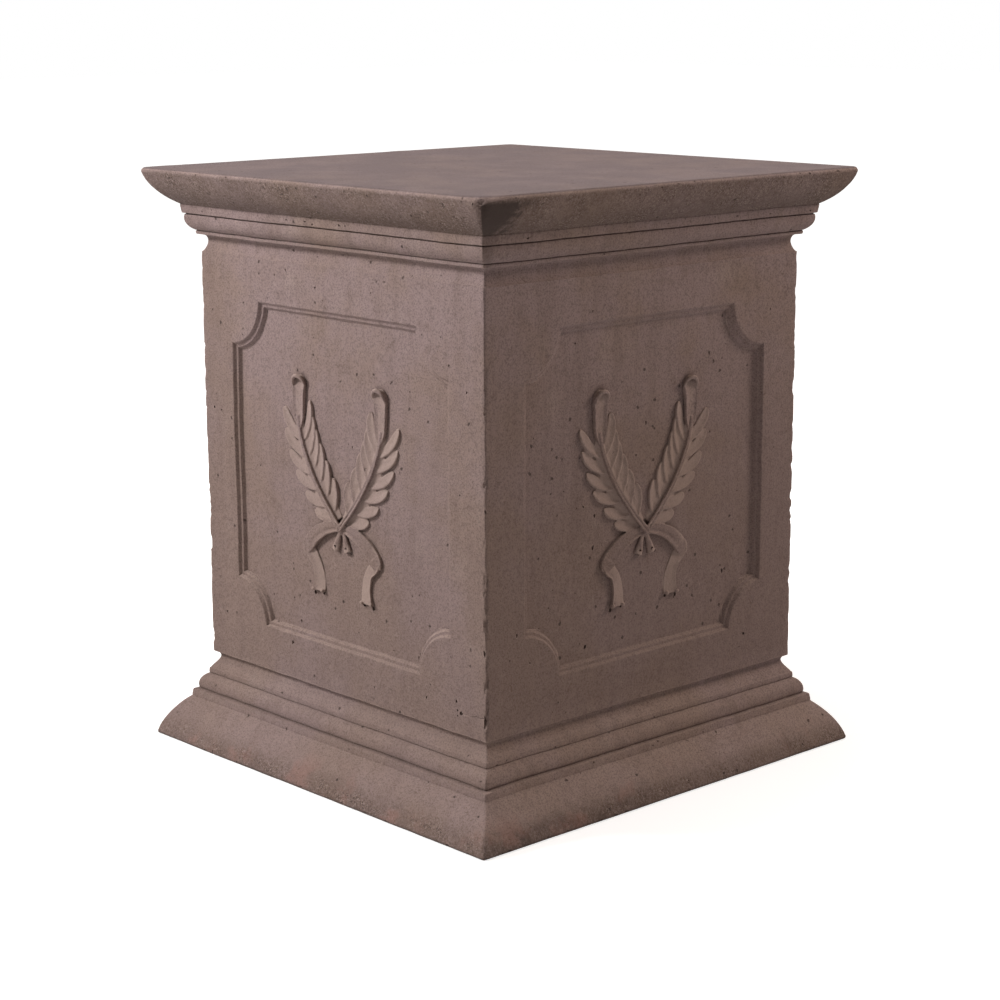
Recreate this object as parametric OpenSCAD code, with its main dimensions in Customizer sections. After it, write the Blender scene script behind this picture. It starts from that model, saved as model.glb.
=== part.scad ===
// Cast-stone column base: a square pedestal with a moulded cap, a panelled
// shaft that carries a crossed laurel motif on each face, and a moulded foot.
// It is one casting. Millimetres, +Z up, origin at the middle of the underside.

/* [Overall] */
// Height of the whole casting
height = 508; // [440:1:640]
// Width across the foot at the ground
foot_w = 440; // [424:1:560]
// Width across the cap's edge
cap_w = 435; // [424:1:560]
// Width across the plain shaft
shaft_w = 363; // [330:1:374]

/* [Foot moulding] */
// Rounding of the foot's lower edge
foot_round = 3; // [1:0.5:5]
// Height of the sloping skirt
skirt_h = 36.5; // [24:0.5:44]
// How far the skirt's curve stands out from a straight slope
skirt_bulge = 2.7; // [0.5:0.1:5]
// Projection of the lower fillet past the shaft
foot_fillet_out = 15; // [12:0.5:20]
// Height of the lower fillet
foot_fillet_h = 6; // [3:0.5:10]
// Height of the foot's quarter round
foot_ovolo_h = 13.6; // [10:0.2:18]
// Height of the small fillet over it
foot_bead_h = 5; // [2:0.5:8]
// Height of the hollow under the shaft
foot_neck_h = 15.6; // [12:0.2:20]

/* [Cap moulding] */
// Rounding of the cap's upper edge
cap_round = 3.5; // [1:0.5:5]
// Depth of the cap's sloping face
flare_h = 31.8; // [24:0.2:40]
// How far that face's curve stands out from a straight slope
flare_bulge = 3.4; // [0.5:0.1:5]
// Projection of the upper fillet past the shaft
cap_fillet_out = 12.6; // [11:0.2:20]
// Height of the upper fillet
cap_fillet_h = 7.2; // [3:0.2:10]
// Height of the cap's quarter round
cap_ovolo_h = 13.6; // [10:0.2:18]
// Height of the small fillet under it
cap_bead_h = 3; // [2:0.5:8]
// Height of the hollow over the shaft
cap_neck_h = 15.4; // [12:0.2:20]

/* [Small members] */
// Projection of a quarter round past the shaft
ovolo_out = 10; // [8:0.2:10.8]
// How far a quarter round swells past its chord
ovolo_bulge = 2.8; // [1:0.1:4]
// Projection of a small fillet past the shaft
bead_out = 3.2; // [2:0.1:5]
// Height of the narrow groove between a fillet and a quarter round
quirk_h = 1.2; // [0.5:0.1:3]
// How far a small member tapers over its height
taper = 1; // [0:0.1:1.5]
// How deep a hollow cuts in behind its chord
neck_depth = 4.6; // [2:0.1:6]

/* [Panel] */
// Width of the sunk panel
panel_w = 281; // [240:1:300]
// Height of the sunk panel
panel_h = 284; // [250:1:310]
// Height of the panel's middle above the shaft's middle
panel_rise = 0.8; // [-10:0.1:10]
// Radius of the quarter circles that cut its corners
corner_r = 38; // [20:1:60]
// Depth of the panel's outer step
step_depth = 2.8; // [1:0.1:4]
// Width of the ledge at that step
step_w = 3.6; // [2:0.1:8]
// Depth of the panel's ground
panel_depth = 5.6; // [4.4:0.1:9]

/* [Laurel motif] */
// Height of the knot below the panel's middle
knot_drop = 38; // [25:1:50]
// Length of a spray's stem from the knot to its end leaf
stem_l = 106; // [95:1:115]
// Direction in which a stem leaves the knot, above level
stem_start = 46; // [38:1:54]
// Direction in which a stem ends, above level
stem_end = 82; // [72:1:92]
// Width of a stem at the knot
stem_w = 4.6; // [3:0.1:7]
// Leaves along each side of a stem
leaves = 6; // [4:1:7]
// Length of a side leaf
leaf_l = 29; // [22:0.5:34]
// Width of a side leaf
leaf_w = 10; // [7:0.5:12]
// Length of the leaf that ends a spray
end_leaf_l = 46; // [36:1:52]
// Width of that leaf
end_leaf_w = 18; // [12:0.5:22]
// Width of the ribbon at the knot
ribbon_start_w = 6; // [4:0.5:9]
// Width of the ribbon at its fold
ribbon_w = 14; // [10:0.5:18]
// Reach of the ribbon to each side of the knot
ribbon_reach = 50; // [40:1:60]
// How far the ribbon's ends hang below the knot
ribbon_drop = 57; // [48:1:66]
// Width of the knot
knot_w = 10; // [6:0.5:14]
// How high the leaves stand over the panel's ground
leaf_rise = 3.2; // [2:0.1:4]
// How far a side leaf is tipped about its length
leaf_tilt = 8; // [0:1:12]
// How far the end leaf lifts towards its tip
end_leaf_lift = 2; // [0:0.5:3]
// How high the knot stands over the panel's ground
knot_rise = 4.3; // [3:0.1:4.6]

/* [Hidden] */

shaft_r = shaft_w / 2;
foot_h = skirt_h + foot_fillet_h + quirk_h + foot_ovolo_h + foot_bead_h + foot_neck_h;
cap_h = flare_h + cap_fillet_h + quirk_h + cap_ovolo_h + cap_bead_h + cap_neck_h;
panel_z = (foot_h + height - cap_h) / 2 + panel_rise;

round_steps = 4;
slope_steps = 8;
member_steps = 7;
stem_steps = 24;
leaf_steps = 5;
bury = 2;
overcut = 1;

// Points of a circular arc from a to b, both included, that swells to the left
// of the way from a to b by the given amount, or to the right where it is negative
function bow(a, b, swell, steps) =
    let (
        chord = norm(b - a),
        along = (b - a) / chord,
        left = [-along.y, along.x],
        radius = (chord * chord / 4 + swell * swell) / (2 * abs(swell)),
        half_angle = asin(chord / 2 / radius)
    )
    [for (i = [0:steps])
        let (angle = half_angle * (2 * i / steps - 1))
        (a + b) / 2 + along * radius * sin(angle)
            + left * sign(swell) * radius * (cos(angle) - cos(half_angle))];

// Half profile of one moulding, from its outer end inwards to the shaft, as
// [distance from the axis, distance from the outer end]. Foot and cap share it.
function moulding(edge, edge_round, slope_h, slope_bulge, fillet_out, fillet_h,
                  ovolo_h, bead_h, neck_h) =
    let (
        fillet_end = slope_h + fillet_h,
        ovolo_start = fillet_end + quirk_h,
        bead_start = ovolo_start + ovolo_h,
        neck_start = bead_start + bead_h,
        neck_end = neck_start + neck_h
    )
    [
        for (i = [0:round_steps - 1])
            let (a = 90 * i / round_steps)
            [edge - edge_round * (1 - sin(a)), edge_round * (1 - cos(a))],
        each bow([edge, edge_round], [shaft_r + fillet_out, slope_h], -slope_bulge, slope_steps),
        [shaft_r + fillet_out - taper, fillet_end],
        each bow([shaft_r + ovolo_out, ovolo_start], [shaft_r + bead_out, bead_start],
                 -ovolo_bulge, member_steps),
        [shaft_r + bead_out - taper, neck_start],
        each bow([shaft_r + bead_out - 2 * taper, neck_start], [shaft_r, neck_end],
                 neck_depth, member_steps)
    ];

foot_profile = moulding(foot_w / 2, foot_round, skirt_h, skirt_bulge, foot_fillet_out,
                        foot_fillet_h, foot_ovolo_h, foot_bead_h, foot_neck_h);
cap_profile = moulding(cap_w / 2, cap_round, flare_h, flare_bulge, cap_fillet_out,
                       cap_fillet_h, cap_ovolo_h, cap_bead_h, cap_neck_h);

// The right half of the pedestal's outline, from the ground up
right_side = concat(
    foot_profile,
    [for (i = [len(cap_profile) - 1:-1:0]) [cap_profile[i].x, height - cap_profile[i].y]]
);

// The whole outline, pushed through from side to side
module outline_prism() {
    left_side = [for (i = [len(right_side) - 1:-1:0]) [-right_side[i].x, right_side[i].y]];
    reach = max(foot_w, cap_w) + 20;
    rotate([90, 0, 0])
        linear_extrude(reach, center = true)
            polygon(concat(right_side, left_side));
}

// Two outlines that cross give every moulding its true mitre
module moulded_block() {
    intersection() {
        outline_prism();
        rotate([0, 0, 90]) outline_prism();
    }
}

// Puts what is drawn flat, with its face up, on the panel's ground of each side
module on_each_face() {
    for (turn = [0:90:270])
        rotate([0, 0, turn])
            translate([0, panel_depth - shaft_r, panel_z])
                rotate([90, 0, 0])
                    children();
}

// Outline of the panel, drawn in by a margin, with its corners cut by circles
module panel_outline(margin) {
    w = panel_w - 2 * margin;
    h = panel_h - 2 * margin;
    difference() {
        square([w, h], center = true);
        for (x = [-1, 1], y = [-1, 1])
            translate([x * panel_w / 2, y * panel_h / 2])
                circle(r = corner_r + margin, $fn = 48);
    }
}

// The space that a panel takes out of the shaft, in two steps
module panel_cut() {
    linear_extrude(panel_depth + overcut) panel_outline(step_w);
    translate([0, 0, panel_depth - step_depth])
        linear_extrude(step_depth + overcut) panel_outline(0);
}

// A flat outline raised from under the ground to a height, tipped about its own long
// axis so that one edge stands higher than the other, and about its root so that its
// far end does
module carved(height_over_ground, tip_side = 0, tip_end = 0) {
    translate([0, 0, height_over_ground])
        rotate([tip_side, -tip_end, 0])
            translate([0, 0, -height_over_ground - bury])
                linear_extrude(height_over_ground + bury)
                    children();
}

// Outline of a leaf that lies along X from its root, with a stub at the root, and
// swells by different amounts to its left and its right
module leaf_outline(length, left, right, root_w) {
    polygon(concat(
        bow([0, -root_w / 2], [length, -root_w / 8], -right, leaf_steps),
        bow([length, root_w / 8], [0, root_w / 2], -left, leaf_steps)
    ));
}

// Direction of a spray's stem at a share u of its length
function stem_heading(u) = stem_start + (stem_end - stem_start) * pow(u, 1.8);

// The stem's own curve, walked in equal steps from the knot
stem_line = [
    for (
        i = 0, p = [0, 0];
        i <= stem_steps;
        i = i + 1,
        p = p + stem_l / stem_steps * [cos(stem_heading(i / stem_steps)), sin(stem_heading(i / stem_steps))]
    ) p
];

// The point at a share u of that curve
function stem_point(u) =
    let (i = min(floor(u * stem_steps), stem_steps - 1), rest = u * stem_steps - i)
    stem_line[i] * (1 - rest) + stem_line[i + 1] * rest;

// The stem, tapering from the knot to its end leaf
module stem() {
    function edge(side) = [
        for (i = [0:2:stem_steps])
            let (u = i / stem_steps, heading = stem_heading(u), half = stem_w * (1 - 0.5 * u) / 2)
            stem_line[i] + side * half * [-sin(heading), cos(heading)]
    ];
    right = edge(-1);
    left = edge(1);
    carved(knot_rise - 0.4)
        polygon(concat(right, [for (i = [len(left) - 1:-1:0]) left[i]]));
}

// Stem, side leaves and end leaf of the right-hand spray. Each side leaf lifts its
// lower edge over the leaf before it.
module spray() {
    stem();
    for (k = [0:leaves - 1], side = [-1, 1]) {
        u = 0.12 + 0.7 * k / (leaves - 1);
        length = leaf_l * (0.84 + 0.2 * u);
        open = side < 0 ? 40 - 16 * u : 52 - 14 * u;
        translate(stem_point(u))
            rotate(stem_heading(u) + side * open)
                carved(leaf_rise * 0.8, side * leaf_tilt)
                    leaf_outline(
                        length,
                        side < 0 ? leaf_w * 0.3 : leaf_w * 0.55,
                        side < 0 ? leaf_w * 0.55 : leaf_w * 0.3,
                        leaf_w * 0.3
                    );
    }
    translate(stem_point(0.88))
        rotate(stem_end + 10)
            carved(leaf_rise * 0.7, 0, end_leaf_lift)
                leaf_outline(end_leaf_l, end_leaf_w / 2 - 1, end_leaf_w / 2 - 1, 5);
}

// The ribbon on the right: out from the knot to its fold, and down from there to its
// forked end. It narrows and widens again as it hangs.
module ribbon() {
    fold_top = [ribbon_reach, -19];
    fold_bottom = fold_top - ribbon_w * [cos(15), sin(15)];
    carved(leaf_rise * 0.8)
        polygon(concat(
            bow([0, -ribbon_start_w / 2], fold_bottom, 4, member_steps),
            bow(fold_top, [0, ribbon_start_w / 2], -9, member_steps)
        ));
    tail_out = fold_top - [10, ribbon_drop - 17];
    waist = fold_top - [9, 15];
    tail_in = tail_out - [ribbon_w + 2, 0];
    carved(leaf_rise * 0.6)
        polygon(concat(
            bow(fold_top, waist, 1.5, leaf_steps),
            bow(waist, tail_out, -3, leaf_steps),
            [tail_out - [4, -3], (tail_out + tail_in) / 2, tail_in + [4, 3]],
            bow(tail_in, fold_bottom, 4, member_steps)
        ));
}

// The cut end of a stem below the knot, flared like a small trumpet
module stem_stub() {
    translate([1.5, -3])
        rotate(-70)
            carved(leaf_rise * 0.9)
                polygon([[0, -2.2], [17, -4.5], [17, 4.5], [0, 2.2]]);
}

// The knot that ties the sprays
module knot() {
    carved(knot_rise) circle(d = knot_w, $fn = 32);
}

// Everything that stands up from one panel's ground
module motif() {
    for (flip = [0, 1])
        mirror([flip, 0, 0]) {
            spray();
            ribbon();
            stem_stub();
        }
    knot();
}

module pedestal() {
    color("#8f7468") {
        difference() {
            moulded_block();
            on_each_face() panel_cut();
        }
        on_each_face() translate([0, -knot_drop, 0]) motif();
    }
}

pedestal();
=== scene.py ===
"""Looks of a cast-stone pedestal: the moulded block, its worn edges and air holes, the laurel
relief on each face and the stone's own finish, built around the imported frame."""
import math
import random

import bpy
from mathutils import Matrix, Vector, noise


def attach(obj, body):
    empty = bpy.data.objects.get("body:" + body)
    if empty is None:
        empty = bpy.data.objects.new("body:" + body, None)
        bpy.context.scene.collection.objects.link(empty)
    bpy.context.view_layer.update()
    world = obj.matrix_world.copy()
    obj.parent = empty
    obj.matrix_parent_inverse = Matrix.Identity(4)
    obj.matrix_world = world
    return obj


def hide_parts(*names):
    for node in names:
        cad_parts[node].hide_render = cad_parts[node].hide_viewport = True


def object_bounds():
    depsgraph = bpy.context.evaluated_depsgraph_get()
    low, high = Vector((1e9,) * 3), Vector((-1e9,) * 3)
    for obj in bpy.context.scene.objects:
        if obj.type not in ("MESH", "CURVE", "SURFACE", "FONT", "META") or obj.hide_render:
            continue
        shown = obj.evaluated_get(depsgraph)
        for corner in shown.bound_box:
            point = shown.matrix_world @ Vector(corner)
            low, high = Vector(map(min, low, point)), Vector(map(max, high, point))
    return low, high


bl_info = {
    "name": "Cast-stone pedestal",
    "version": (1, 0, 0),
    "blender": (4, 5, 0),
    "location": "View3D > Sidebar > Pedestal",
    "description": "Models and finishes a cast-stone pedestal with laurel panels",
    "category": "Object",
}

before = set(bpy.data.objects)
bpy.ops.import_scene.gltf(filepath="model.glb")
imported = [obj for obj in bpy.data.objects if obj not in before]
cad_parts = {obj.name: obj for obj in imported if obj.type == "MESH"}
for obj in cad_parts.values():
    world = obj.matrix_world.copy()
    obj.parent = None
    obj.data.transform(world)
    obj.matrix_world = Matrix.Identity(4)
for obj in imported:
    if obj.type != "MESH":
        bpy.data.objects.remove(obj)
CAD_LOW, CAD_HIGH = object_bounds()
HEIGHT = CAD_HIGH.z
FOOT_WIDTH = CAD_HIGH.x - CAD_LOW.x
MM = 0.001


# -------- settings

def length(name, description, default):
    """A size in metres that the sidebar can show."""
    return bpy.props.FloatProperty(name=name, description=description, default=default,
                                   unit="LENGTH", precision=4)


def number(name, description, default):
    return bpy.props.FloatProperty(name=name, description=description, default=default)


def count(name, description, default):
    return bpy.props.IntProperty(name=name, description=description, default=default)


def colour(name, description, default):
    """An sRGB colour written as a hex string."""
    return bpy.props.StringProperty(name=name, description=description, default=default)


class BlockSizes(bpy.types.PropertyGroup):
    cap_width: length("Cap width", "Width across the cap's edge", FOOT_WIDTH - 5 * MM)
    shaft_width: length("Shaft width", "Width across the plain shaft", 363 * MM)
    foot_height: length("Foot height", "Height of the foot's mouldings", 77.9 * MM)
    cap_height: length("Cap height", "Height of the cap's mouldings", 72.2 * MM)
    corner: length("Corner radius", "Rounding of the upright corners", 1.6 * MM)
    easing: length("Easing", "How far the cap's sharp edges are worn back", 0.6 * MM)
    foot_easing: length("Foot easing", "How far the foot's sharp edges are worn back", 1.1 * MM)
    wobble: length("Wobble", "How far the cast surfaces wander from true", 0.5 * MM)


class PanelSizes(bpy.types.PropertyGroup):
    width: length("Width", "Width of a sunk panel", 281 * MM)
    height: length("Height", "Height of a sunk panel", 284 * MM)
    rise: length("Rise", "Height of its middle over the shaft's middle", 0.8 * MM)
    corner: length("Corner radius", "Radius of the circles that cut its corners", 38 * MM)
    depth: length("Depth", "Depth of its ground", 5.6 * MM)
    knot_drop: length("Knot drop", "How far the knot is below its middle", 38 * MM)


class MotifSizes(bpy.types.PropertyGroup):
    stem_length: length("Stem length", "Length of a stem up to its end leaf", 106 * MM)
    leaf_length: length("Leaf length", "Length of a side leaf", 29 * MM)
    leaf_width: length("Leaf width", "Width of a side leaf", 9.8 * MM)
    leaf_rise: length("Leaf rise", "Height of a leaf over the ground", 4.3 * MM)
    end_leaf_length: length("End leaf length", "Length of the leaf at a tip", 46 * MM)
    end_leaf_width: length("End leaf width", "Width of that leaf", 18 * MM)
    ribbon_rise: length("Ribbon rise", "Height of the ribbon over the ground", 3.6 * MM)
    ribbon_width: length("Ribbon width", "Width of the ribbon at its fold", 14 * MM)
    ribbon_reach: length("Ribbon reach", "Reach of the ribbon to each side", 50 * MM)
    ribbon_drop: length("Ribbon drop", "How far its ends hang below the knot", 57 * MM)
    grain: length("Carving grain", "Size of the finest carved detail", 0.6 * MM)


class WearSettings(bpy.types.PropertyGroup):
    seed: count("Seed", "Which pattern of chips and holes", 11)
    holes: count("Air holes", "Air holes on each face", 70)
    chips: count("Chips", "Chips along each upright edge", 46)


class StoneColours(bpy.types.PropertyGroup):
    body: colour("Body", "The cement's own mauve brown", "#958280")
    warm: colour("Warm", "Where the pigment is browner", "#8f7b72")
    # This colour also paints shade: low on the shaft's right, by the front's far edge and on the foot's front
    streak_and_shade: colour("Streak", "Water streaks down the faces", "#77655f")
    # This colour also paints light on the foot's right
    bloom_and_light: colour("Bloom", "Pale lime bloom", "#a8968f")
    sand: colour("Sand", "Dark sandy crust on edges", "#5f4e44")
    rust: colour("Rust", "Reddish patches near the ground", "#957168")
    # This colour also paints light on upward faces and a highlight on proud edges
    rubbed_and_lit: colour("Rubbed", "Edges rubbed pale", "#b09c92")
    top: colour("Top", "The top's darker stain", "#65595b")
    # This colour also paints shade in grooves and hollows, in the pin holes, on the cap's lower face and
    # under the cap by the nearest corner
    grime_and_shade: colour("Grime", "Dirt in grooves and holes", "#3c312d")


class StageSettings(bpy.types.PropertyGroup):
    azimuth: number("Azimuth", "Camera's bearing, in degrees", 47.304)
    elevation: number("Elevation", "Camera's angle above level, in degrees", 12.315)
    roll: number("Roll", "Camera's tilt about its own axis, in degrees", -0.227)
    distance: length("Distance", "Camera's distance from what it looks at", 4.010 * HEIGHT)
    aim_height: length("Aim height", "Height that the camera looks at", 0.427 * HEIGHT)
    lens: number("Lens", "Focal length in millimetres", 83.38)


# -------- modelling helpers

def deselect():
    bpy.ops.object.select_all(action="DESELECT")


def activate(obj):
    deselect()
    obj.select_set(True)
    bpy.context.view_layer.objects.active = obj


def whole_mesh():
    """Selects all of the mesh in edit mode."""
    bpy.ops.mesh.select_all(action="SELECT")


def begin_edit(obj):
    """Enters edit mode with the whole mesh selected."""
    activate(obj)
    bpy.ops.object.mode_set(mode="EDIT")
    whole_mesh()


def end_edit():
    """Turns all normals outward and leaves edit mode."""
    whole_mesh()
    bpy.ops.mesh.normals_make_consistent(inside=False)
    bpy.ops.object.mode_set(mode="OBJECT")


def apply(obj, kind, **settings):
    """Adds a modifier with its settings and applies it."""
    activate(obj)
    modifier = obj.modifiers.new(kind.title(), kind)
    for name, value in settings.items():
        setattr(modifier, name, value)
    bpy.ops.object.modifier_apply(modifier=modifier.name)


def cut(obj, cutter):
    """Takes cutter's space out of obj, and removes cutter."""
    apply(obj, "BOOLEAN", operation="DIFFERENCE", object=cutter, solver="EXACT")
    bpy.data.objects.remove(cutter)


def join(objs, name):
    deselect()
    for obj in objs:
        obj.select_set(True)
    bpy.context.view_layer.objects.active = objs[0]
    if len(objs) > 1:
        bpy.ops.object.join()
    objs[0].name = name
    objs[0].data.name = name
    return objs[0]


def outline(points, name):
    """One flat face through the given points, in the XY plane."""
    deselect()
    bpy.ops.mesh.primitive_circle_add(vertices=len(points), fill_type="NGON")
    obj = bpy.context.active_object
    obj.name = name
    for vertex, point in zip(obj.data.vertices, points):
        vertex.co = (point[0], point[1], 0)
    return obj


def copy_of(obj, matrix):
    """A twin with its own mesh, moved by matrix."""
    twin = obj.copy()
    twin.data = obj.data.copy()
    bpy.context.scene.collection.objects.link(twin)
    twin.data.transform(matrix)
    return twin


def new_object(name, data):
    obj = bpy.data.objects.new(name, data)
    bpy.context.scene.collection.objects.link(obj)
    return obj


def unit(angle):
    """The flat direction at an angle."""
    return Vector((math.cos(angle), math.sin(angle)))


def beside(point, heading, out):
    """The flat place that far to the left of a heading."""
    return point.x - math.sin(heading) * out, point.y + math.cos(heading) * out


# Each side of the block, turned from the front
SIDES = [Matrix.Rotation(math.radians(90 * turn), 3, "Z") for turn in range(4)]


def face_matrix(turn, depth, height):
    """Stands a flat drawing upright on side number turn, that far out from the axis and up."""
    upright = Matrix.Rotation(math.radians(90), 4, "X")
    return (Matrix.Rotation(math.radians(90 * turn), 4, "Z")
            @ Matrix.Translation((0, -depth, height)) @ upright)


def bow(start, end, swell, steps):
    """Points along a circular arc that swells to the left of its way by swell."""
    start, end = Vector(start), Vector(end)
    chord = (end - start).length
    along = (end - start) / chord
    left = Vector((-along.y, along.x))
    radius = (chord ** 2 / 4 + swell ** 2) / (2 * abs(swell))
    half_angle = math.asin(chord / 2 / radius)
    points = []
    for i in range(steps + 1):
        angle = half_angle * (2 * i / steps - 1)
        offset = math.copysign(radius * (math.cos(angle) - math.cos(half_angle)), swell)
        points.append((start + end) / 2 + along * radius * math.sin(angle) + left * offset)
    return points


def eased(points, reach, sharp=math.radians(24)):
    """Wears back each corner of an open line that turns by more than sharp."""
    out = [points[0]]
    for before, here, after in zip(points, points[1:], points[2:]):
        into, out_of = here - before, after - here
        if into.length < 1e-7 or out_of.length < 1e-7 or into.angle(out_of) < sharp:
            out.append(here)
            continue
        a = here - into.normalized() * min(reach, into.length * 0.4)
        b = here + out_of.normalized() * min(reach, out_of.length * 0.4)
        out += [a, (a + b + 2 * here) / 4, b]
    out.append(points[-1])
    return out


# -------- the moulded block

def cove(start, end, depth, skew, steps=10):
    """Points of a hollow whose deepest place lies nearer its end the more skew is over 1."""
    points = []
    for i in range(steps + 1):
        t = i / steps
        hollow = depth * math.sin(math.pi * t ** skew) ** 0.75
        points.append(Vector(start).lerp(Vector(end), t) - Vector((hollow, 0)))
    return points


def moulding(shaft, edge, edge_round, slope_h, slope_bulge, fillet_out, fillet_h, bead_h, neck_h, groove,
             sink, lip, hollow, skew):
    """Half profile from a moulding's outer end inwards to the shaft, as in the CAD solid."""
    quirk, ovolo_h, ovolo_out, bead_out, taper = 1.2 * MM, 13.6 * MM, 10 * MM, 3.2 * MM, 1 * MM
    fillet_end = slope_h + fillet_h
    ovolo_start = fillet_end + quirk
    bead_start = ovolo_start + ovolo_h
    neck_start = bead_start + bead_h
    neck_end = neck_start + neck_h
    fillet, ovolo, bead = shaft + fillet_out, shaft + ovolo_out, shaft + bead_out
    points = []
    for i in range(4):
        a = math.radians(90 * i / 4)
        points.append(Vector((edge - edge_round * (1 - math.sin(a)), edge_round * (1 - math.cos(a)))))
    points += bow((edge, edge_round), (fillet - 0.5 * groove, slope_h - 0.3 * MM), -slope_bulge, 10)
    points += [Vector((fillet, slope_h + 0.4 * MM)), Vector((fillet - taper, fillet_end)),
               Vector((ovolo - groove, fillet_end + 0.3 * MM)),
               Vector((ovolo - groove, ovolo_start - 0.2 * MM))]
    points += bow((ovolo, ovolo_start), (bead, bead_start), -2.8 * MM, 7)
    points += [Vector((bead - groove, bead_start + 0.1 * MM)),
               Vector((bead + 0.2 * MM, bead_start + 0.9 * MM)), Vector((bead - 0.2 * MM, neck_start))]
    points += cove((bead - sink, neck_start), (shaft - lip, neck_end - 0.2 * MM), hollow, skew)
    points.append(Vector((shaft, neck_end)))
    return points


def side_profile(sizes):
    """The block's right-hand outline from the ground up, as (half width, height)."""
    shaft = sizes.shaft_width / 2
    foot = moulding(shaft, FOOT_WIDTH / 2, edge_round=3 * MM, slope_h=36.5 * MM, slope_bulge=2.7 * MM,
                    fillet_out=15 * MM, fillet_h=6 * MM, bead_h=5 * MM, neck_h=15.6 * MM, groove=0.6 * MM,
                    sink=0.8 * MM, lip=1.6 * MM, hollow=4.2 * MM, skew=1.7)
    cap = moulding(shaft, sizes.cap_width / 2, edge_round=3.5 * MM, slope_h=31.8 * MM, slope_bulge=3.4 * MM,
                   fillet_out=12.6 * MM, fillet_h=7.2 * MM, bead_h=3.4 * MM, neck_h=15 * MM, groove=0.9 * MM,
                   sink=4 * MM, lip=0.7 * MM, hollow=3.4 * MM, skew=0.75)
    cap = [Vector((p.x, HEIGHT - p.y)) for p in reversed(cap)]
    rows = 100
    start, end = foot[-1].y, cap[0].y
    shaft_rows = [Vector((shaft, start + (end - start) * i / rows)) for i in range(1, rows)]
    top_rows = [Vector((cap[-1].x - inwards * MM, HEIGHT)) for inwards in (2, 4, 6.5, 9.5, 13, 17, 22, 28)]
    return eased(foot, sizes.foot_easing) + shaft_rows + eased(cap + top_rows, sizes.easing)


def rounded_square(half, corner, per_side, corner_steps=4):
    """Points anticlockwise round a square with rounded corners, closer together near them."""
    points = []
    for side in range(4):
        turn = Matrix.Rotation(math.radians(90 * side), 2)
        straight = half - corner
        for i in range(per_side):
            even = i / per_side
            share = 0.25 * even + 0.75 * (0.5 - 0.5 * math.cos(math.pi * even))
            points.append(turn @ Vector((half, -straight + 2 * straight * share)))
        for i in range(corner_steps):
            a = math.radians(90 * i / corner_steps)
            points.append(turn @ Vector((straight + corner * math.cos(a),
                                         straight + corner * math.sin(a))))
    return points


def build_block(sizes):
    """Draws the ring at the ground, then extrudes and resizes it up the profile."""
    profile = side_profile(sizes)
    block = outline(rounded_square(profile[0].x, sizes.corner, 64), "pedestal_block")
    begin_edit(block)
    for before, point in zip(profile, profile[1:]):
        bpy.ops.mesh.extrude_region_move(TRANSFORM_OT_translate={"value": (0, 0, point.y - before.y)})
        share = point.x / before.x
        bpy.ops.transform.resize(value=(share, share, 1), center_override=(0, 0, point.y))
    end_edit()
    return block


def drift(place):
    """Smooth noise along each axis at a place."""
    return Vector([noise.noise(place + Vector((17.3 * i, 5.1 * i, -9.7 * i))) for i in range(3)])


def wander(obj, amount, sizes):
    """Moves the vertices by smooth noise of each given size in metres, less near the ground."""
    for vertex in obj.data.vertices:
        co = vertex.co
        shift = Vector((0, 0, 0))
        for size, share in sizes:
            shift += drift(co / size) * share
        if co.z < 1 * MM or co.z > HEIGHT - 0.2 * MM:
            shift.z = 0
        vertex.co = co + shift * amount


# -------- panels

def panel_outline(panel):
    """Points round a panel whose corners are cut by quarter circles."""
    arc_steps, straight_steps = 12, 20
    arcs = []
    for index, (sx, sy) in enumerate(((1, -1), (1, 1), (-1, 1), (-1, -1))):
        centre = Vector((sx * panel.width / 2, sy * panel.height / 2))
        first = math.radians(180 + 90 * index)
        arcs.append([centre + panel.corner * unit(first - math.radians(90 * i / arc_steps))
                     for i in range(arc_steps + 1)])
    points = []
    for arc, following in zip(arcs, arcs[1:] + arcs[:1]):
        points += arc
        points += [arc[-1].lerp(following[0], i / straight_steps) for i in range(1, straight_steps)]
    return points


def panel_middle(sizes, panel):
    """Height of the panels' middle over the ground."""
    return (sizes.foot_height + HEIGHT - sizes.cap_height) / 2 + panel.rise


def panel_cutter(panel):
    """The space of one panel: drawn outside the face, pushed in, and stepped by insets. Last it
    is scored into cells, so that the ground can wander."""
    proud, cells = 3 * MM, 12
    cutter = outline(panel_outline(panel), "panel_cutter")
    begin_edit(cutter)
    bpy.ops.mesh.inset(thickness=1.75 * MM, use_outset=True)
    whole_mesh()
    bpy.ops.mesh.dissolve_faces()
    whole_mesh()
    bpy.ops.mesh.extrude_region_move(TRANSFORM_OT_translate={"value": (0, 0, proud)})
    for inwards, deeper in ((0.5, 0.15), (0.6, 0.5), (1.3, 1.7), (0.5, 0.25), (1.6, 0.1), (0.5, 0.3),
                            (1.5, 2.0), (0.6, 0.45), (0.7, 0.15)):
        bpy.ops.mesh.inset(thickness=inwards * MM, depth=deeper * MM, use_even_offset=True)
    for normal, reach in (((1, 0, 0), panel.width / 2), ((0, 1, 0), panel.height / 2)):
        for i in range(1 - cells, cells):
            whole_mesh()
            bpy.ops.mesh.bisect(plane_co=Vector(normal) * reach * (i + 0.03) / cells, plane_no=normal)
    end_edit()
    cutter.data.transform(Matrix.Translation((0, 0, proud)) @ Matrix.Rotation(math.pi, 4, "X"))
    return cutter


# -------- wear

def blob(rng):
    """An uneven lump, the shape that an air hole or a chip leaves behind."""
    deselect()
    bpy.ops.mesh.primitive_ico_sphere_add(subdivisions=2, radius=1)
    lump = bpy.context.active_object
    offset = Vector((rng.uniform(-9, 9), rng.uniform(-9, 9), rng.uniform(-9, 9)))
    for vertex in lump.data.vertices:
        grow = 1 + 0.7 * noise.noise(vertex.co * 1.4 + offset)
        vertex.co = [c * grow for c in vertex.co]
    return lump


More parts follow.
